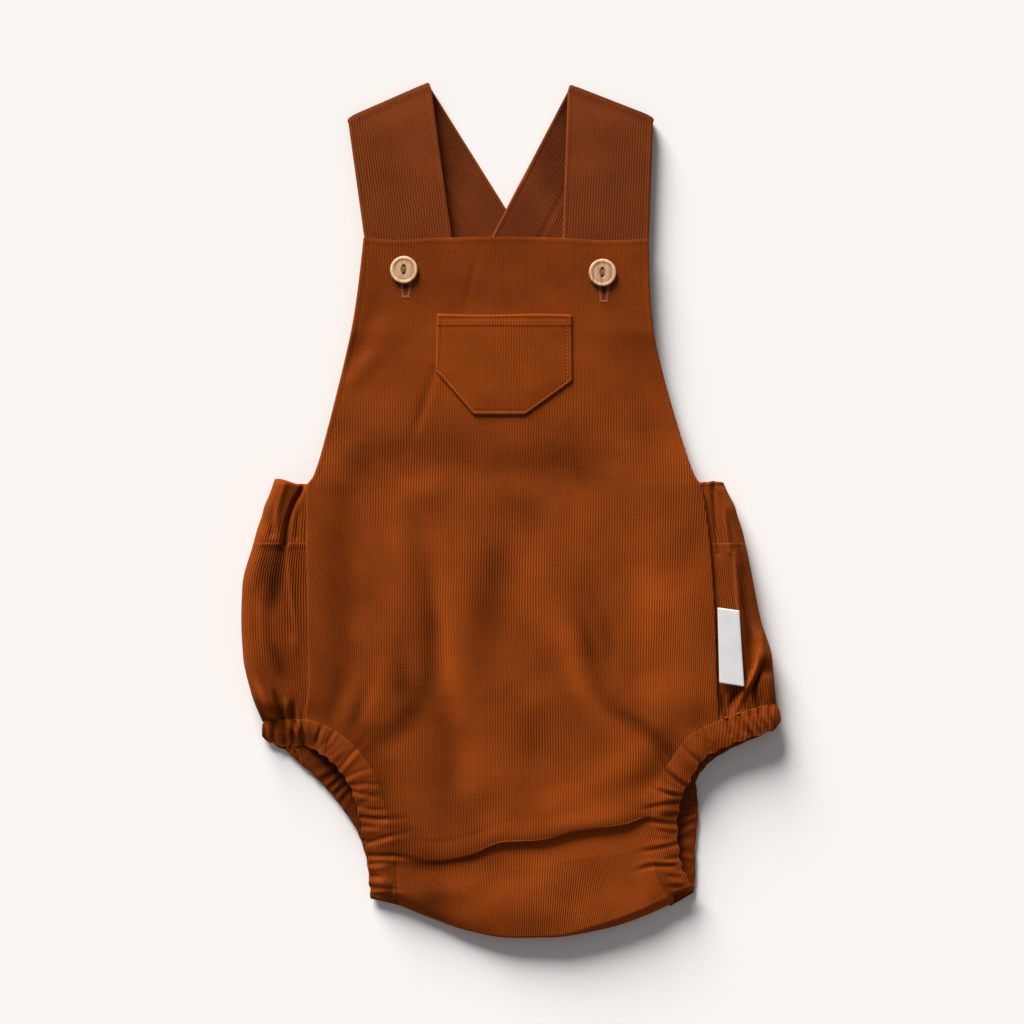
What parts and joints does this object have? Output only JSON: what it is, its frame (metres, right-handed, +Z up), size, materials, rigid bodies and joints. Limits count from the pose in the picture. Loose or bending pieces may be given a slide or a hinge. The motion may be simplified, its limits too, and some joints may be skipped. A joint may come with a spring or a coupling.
{
  "type": "romper lying flat",
  "caption": "Baby's bib romper in fine corduroy, laid flat on its back, with crossed straps buttoned to the bib, a patch pocket, an elastic back waist and gathered leg openings.",
  "frame": {"origin": "on the surface the romper lies on, under the middle of its outline", "axes": "+Y from the crotch to the shoulders, +Z up out of the front, +X to the right of a viewer who looks down at the front"},
  "size_m": [0.2894, 0.4587, 0.0186],
  "materials": {
    "corduroy": "fine-wale cotton corduroy, soft nap",
    "button_wood": "turned, sanded, thin satin varnish",
    "label_ribbon": "plain woven ribbon, bare"
  },
  "bodies": {
    "root": {"front_panel": "corduroy", "back_panel": "corduroy", "back_waist_casing": "corduroy", "leg_casing_left": "corduroy", "leg_casing_right": "corduroy", "strap_left": "corduroy", "strap_right": "corduroy", "pocket": "corduroy", "button_left": "button_wood", "button_right": "button_wood", "side_label": "label_ribbon"}
  },
  "joints": []
}
